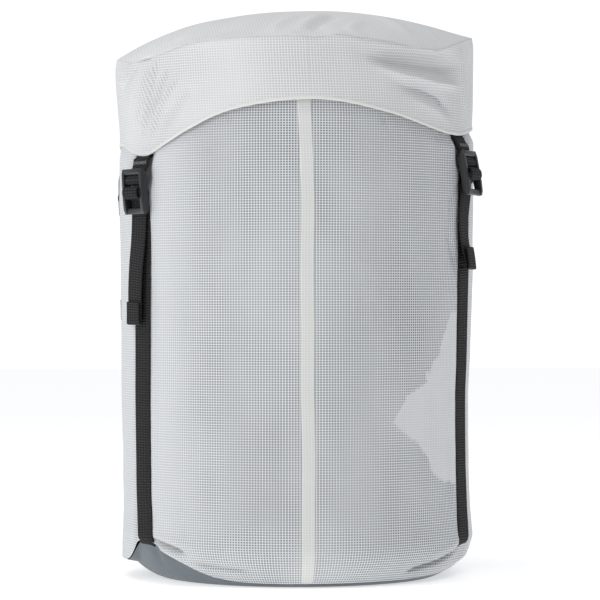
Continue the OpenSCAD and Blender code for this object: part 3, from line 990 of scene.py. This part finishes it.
stitches = []
for i, name in enumerate(CORNERS):
    middle = strap_centre(i)

    def lies(height, proud=0.95):
        """The route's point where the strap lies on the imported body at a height."""
        drift = strap_drift(i, height)
        angle = STRAP_ANGLES[i] + math.degrees(drift / BODY_R)
        radius = float(filled_radius(np.array(angle), np.array(height, float)))
        return (radius - BODY_R + proud - drift**2 / (2 * BODY_R), drift, height)

    seam_at = float(bottom_seam(STRAP_ANGLES[i] + math.degrees(strap_drift(i, 26) / BODY_R)))
    foot = max((seam_at if i < 2 else REAR_SEAM_Z) - FOOT_BELOW_SEAM, LOWEST_FOOT)
    if i == 1:
        foot = RIGHT_FOOT
    route = [(*lies(foot, -2.4)[:2], foot - 1.5), lies(foot + 3.5, 0.5)]
    route += [lies(z) for z in (36, 48, 60, 75, 90, 110, 130, 150, 180)] + [lies(SPLIT_HIGH)]
    lower = strap_piece(f"strap_run_{name}", i, route, steps=100)
    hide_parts(f"strap_{name}")
    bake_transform(lower)
    upper = strap_piece(
        f"strap_rise_{name}",
        i,
        [lies(SPLIT_LOW), lies(228), lies(middle - 22, 1.0), (1.1, 0, middle - 6)],
        steps=40,
    )
    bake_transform(upper)
    loop = strap_piece(
        f"strap_bend_{name}",
        i,
        [(1.1, 0, middle - 7.6), (1.1, 0, middle - 1.5)]
        + tilted(
            i,
            [
                (2.6, 0, middle + 1.9), (5.6, 0, middle + 2.8), (8.6, 0, middle + 2.8),
                (10.3, 0, middle + 1.4), (10.6, 0, middle - 1.0), (10.1, 0, middle - 3.2),
                (8.6, 0, middle - 4.5), (5.4, 0, middle - 4.5),
            ],
        )
        + [(3.4, 0, middle - 6.2), (2.95, 0, middle - 8.0), (2.95, 0, middle - 11)],
        thickness=1.4,
        steps=90,
    )
    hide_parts(f"strap_loop_{name}")
    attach(loop, f"ladderlock_{name}")
    top, end = middle - 10.0, TAIL_END[i]
    hang = [(out, side, top - share * (top - end)) for out, side, share in TAIL_ROUTES[i]]
    kick = hang[-1][0] - hang[-2][0]
    last_out, last_side = hang[-1][:2]
    tip_out, tip_side = last_out + kick * 0.7, last_side * 1.05
    folded_end = [
        (tip_out, tip_side, end + 1.6),
        (tip_out + 0.35, tip_side, end + 0.35),
        (tip_out + 1.25, tip_side, end + 0.35),
        (tip_out + 1.6, tip_side, end + 1.6),
        (tip_out + 1.5 - kick * 0.3, tip_side, end + 8),
        (last_out + 1.5 - kick * 0.2, last_side, end + 15),
    ]
    tail = strap_piece(
        f"strap_hang_{name}",
        i,
        [(2.95, 0, top)] + hang + folded_end,
        thickness=1.45,
        turn=TAIL_TWIST[i],
        steps=150,
    )
    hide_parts(f"strap_tail_{name}")
    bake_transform(tail)
    hem_at = float(hem_line(np.array(STRAP_ANGLES[i])))
    anchor = tilted(i, [(5.2, 0, middle + 4.9), (7.4, 0, middle + 6.4), (7.2, 0, middle + 9)])
    inner = tilted(i, [(5.2, 0, middle + 9.6)])[0]
    low_out, mid_out, top_out, lean_to = TAB_LIE[i % 2]
    up_inside = [
        (inner[0] - 1.6, 0, middle + 13),
        (low_out, lean_to * 0.3, middle + 17),
        (mid_out, lean_to, middle + 22),
        (top_out, lean_to * 1.7, hem_at + 1),
        (top_out - 0.9, lean_to * 2, hem_at + 14),
    ]
    short = strap_piece(
        f"cap_tab_{name}",
        i,
        anchor + up_inside,
        thickness=2.6,
        steps=60,
    )
    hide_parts(f"cap_strap_{name}")
    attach(short, "cap")
    face_out, slope = (low_out + mid_out) / 2 + 1.35, (mid_out - low_out) / 5
    stitches.append(zigzag(f"tack_{name}", i, face_out, middle + 19.5, 2.6, 8.4, slope))

# Zigzag tacks that close the doubled short straps, sewn with grey thread
bpy.ops.object.select_all(action="DESELECT")
for piece in stitches:
    piece.select_set(True)
bpy.context.view_layer.objects.active = stitches[0]
bpy.ops.object.join()
tacks = bpy.context.object
tacks.name = "zigzag_tacks"
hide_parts("cap_strap_bartacks")
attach(tacks, "cap")

# ---------------------------------------------------------------------------
# Ladderlock buckles: moulded black acetal, smooth and slightly glossy, with
# softened edges. The moulded part's own solid is rounded once and used four
# times, each tilted about its middle as its strap pulls it.


def moulded_acetal(name):
    """Moulded black acetal: smooth, slightly glossy, with a barely visible grain."""
    material, tree, shader = plain_material(name, Base_Color=linear("#1f2124"), Roughness=0.36)
    place = add(tree, "ShaderNodeTexCoord").outputs["Object"]
    grain = add(tree, "ShaderNodeTexNoise", {"Vector": place, "Scale": 2500.0, "Detail": 2.0})
    roughen(tree, shader, grain.outputs[0], 0.15, 0.0001)
    return material


acetal = moulded_acetal("acetal_black_moulded")


def buckle_place(corner, angle, tilt=0.0):
    """The matrix that puts a buckle, lying along X outwards from its middle, in its corner."""
    turn = math.radians(angle)
    rise = Matrix.Translation((0, 0, strap_centre(corner) * MM))
    out = Matrix.Translation(((BODY_R + TILT_OUT) * MM, 0, 0))
    facing = Matrix.Rotation(turn - math.pi / 2, 4, "Z")
    return rise @ facing @ out @ Matrix.Rotation(math.radians(tilt), 4, "Y")


RAIL_SHARE = 0.64
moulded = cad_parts["buckle_front_left"]
pattern = bpy.data.objects.new("ladderlock_pattern", moulded.data.copy())
bpy.context.scene.collection.objects.link(pattern)
pattern.data.transform(buckle_place(0, SOLID_ANGLES[0]).inverted() @ moulded.matrix_world)
# Its rails stand lower than the webbing that loops over the middle bar
for point in pattern.data.vertices:
    point.co.x *= RAIL_SHARE if point.co.x > 0 else 1.0
bpy.ops.object.select_all(action="DESELECT")
pattern.select_set(True)
bpy.context.view_layer.objects.active = pattern
bpy.ops.object.mode_set(mode="EDIT")
bpy.ops.mesh.select_all(action="SELECT")
bpy.ops.mesh.remove_doubles(threshold=0.00001)
bpy.ops.mesh.dissolve_limited(angle_limit=math.radians(3))
bpy.ops.mesh.normals_make_consistent(inside=False)
bpy.ops.object.mode_set(mode="OBJECT")
soften = pattern.modifiers.new("soften", "BEVEL")
soften.width = 0.5 * MM
soften.segments = 3
soften.angle_limit = math.radians(32)
bpy.ops.object.modifier_apply(modifier=soften.name)
bpy.ops.object.shade_smooth_by_angle(angle=math.radians(40))
pattern.data.materials.clear()
pattern.data.materials.append(acetal)
for i, name in enumerate(CORNERS):
    buckle = pattern if i == 3 else bpy.data.objects.new(f"ladderlock_body_{name}", pattern.data.copy())
    if i < 3:
        bpy.context.scene.collection.objects.link(buckle)
    buckle.name = f"ladderlock_body_{name}"
    buckle.data.transform(buckle_place(i, STRAP_ANGLES[i], TILT[i]))
    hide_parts(f"buckle_{name}")
    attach(buckle, f"ladderlock_{name}")

# ---------------------------------------------------------------------------
# Closed mouth: a thin collar gathered in pleats on a drawcord that runs in a
# narrow channel and through a barrel cord lock. All of it is under the cap.
COLLAR_HOLE = 31.0
COLLAR_LOW, COLLAR_HIGH = 344.6, 367.4
PLEATS = 34
LOCK_X = 46.0


def collar_place(across, up):
    """A point of the gathered collar, from the mouth's seam inwards."""
    angle = across * 360 - 180
    rim = tube_radius(angle, np.full(angle.shape, MOUTH_Z)) + 0.1
    radius = rim - up * (rim - COLLAR_HOLE)
    turn = np.radians(angle)
    pleat = np.sin(turn * PLEATS + 3 * ripple(arc_of(angle), 0 * angle, 60, 10, 81))
    height = COLLAR_LOW + (COLLAR_HIGH - COLLAR_LOW) * smooth(-0.25, 1.15, up) + 0.4 - 2.1 * (1 - up) ** 6
    # The pleats lie flatter where the cord lock rests on them
    lock = hump(np.hypot(radius * np.sin(turn) - LOCK_X, radius * np.cos(turn)), 14)
    fullness = smooth(0, 0.4, up) * (1 - 0.6 * smooth(0.8, 1, up)) * (1 - 0.92 * lock)
    height += pleat * 2.7 * fullness - 0.5 * lock
    return sack_point(angle, radius, height), arc_of(angle), up * 92


collar = shape(panel("gathered_collar", 408, 40), collar_place)
paint(collar, "load_and_painted_light", np.full(len(collar.data.vertices), 0.25))
collar.data.materials.append(cap_cloth)
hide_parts("mouth_collar")
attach(collar, "mouth")

CHANNEL_R, CHANNEL_TUBE, CHANNEL_Z = 30.0, 3.7, 372.13


def channel_place(across, up):
    """A point of the tunnel, round and along its cord."""
    angle = across * 360 - 180
    around = up * 2 * math.pi
    pucker = 0.3 * np.sin(np.radians(angle) * PLEATS) * (0.6 + 0.4 * np.sin(around * 2))
    radius = CHANNEL_R + (CHANNEL_TUBE + pucker) * np.cos(around)
    height = CHANNEL_Z + (CHANNEL_TUBE + pucker) * np.sin(around)
    return sack_point(angle, radius, height), np.radians(angle) * CHANNEL_R, up * 24


channel = shape(panel("puckered_channel", 272, 20), channel_place)
paint(channel, "load_and_painted_light", np.full(len(channel.data.vertices), 0.3))
channel.data.materials.append(cap_cloth)
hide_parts("cord_channel")
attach(channel, "mouth")


def braided_cord(name):
    """Round braided polyester cord: black, matt, with a fine diagonal lay."""
    material, tree, shader = plain_material(name, Base_Color=linear("#1b1b1c"), Roughness=0.7)
    place = add(tree, "ShaderNodeTexCoord").outputs["Object"]
    lay = add(tree, "ShaderNodeTexVoronoi", {"Vector": place, "Scale": 1100.0})
    roughen(tree, shader, lay.outputs[0], 0.5, 0.0004)
    return material


def spring_steel(name):
    """Bright drawn spring wire with faint drawing marks."""
    material, tree, shader = plain_material(name, Base_Color=linear("#b9bcc0"), Roughness=0.3, Metallic=1.0)
    place = add(tree, "ShaderNodeTexCoord").outputs["Object"]
    marks = add(tree, "ShaderNodeTexNoise", {"Vector": place, "Scale": 3000.0, "Detail": 2.0})
    roughen(tree, shader, marks.outputs[0], 0.1, 0.0001)
    return material


for name, look in (
    ("drawcord", braided_cord("braided_cord_black")),
    ("lock_barrel", acetal),
    ("lock_plunger", acetal),
    ("lock_spring", spring_steel("spring_wire_bright")),
):
    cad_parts[name].data.materials.clear()
    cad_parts[name].data.materials.append(look)
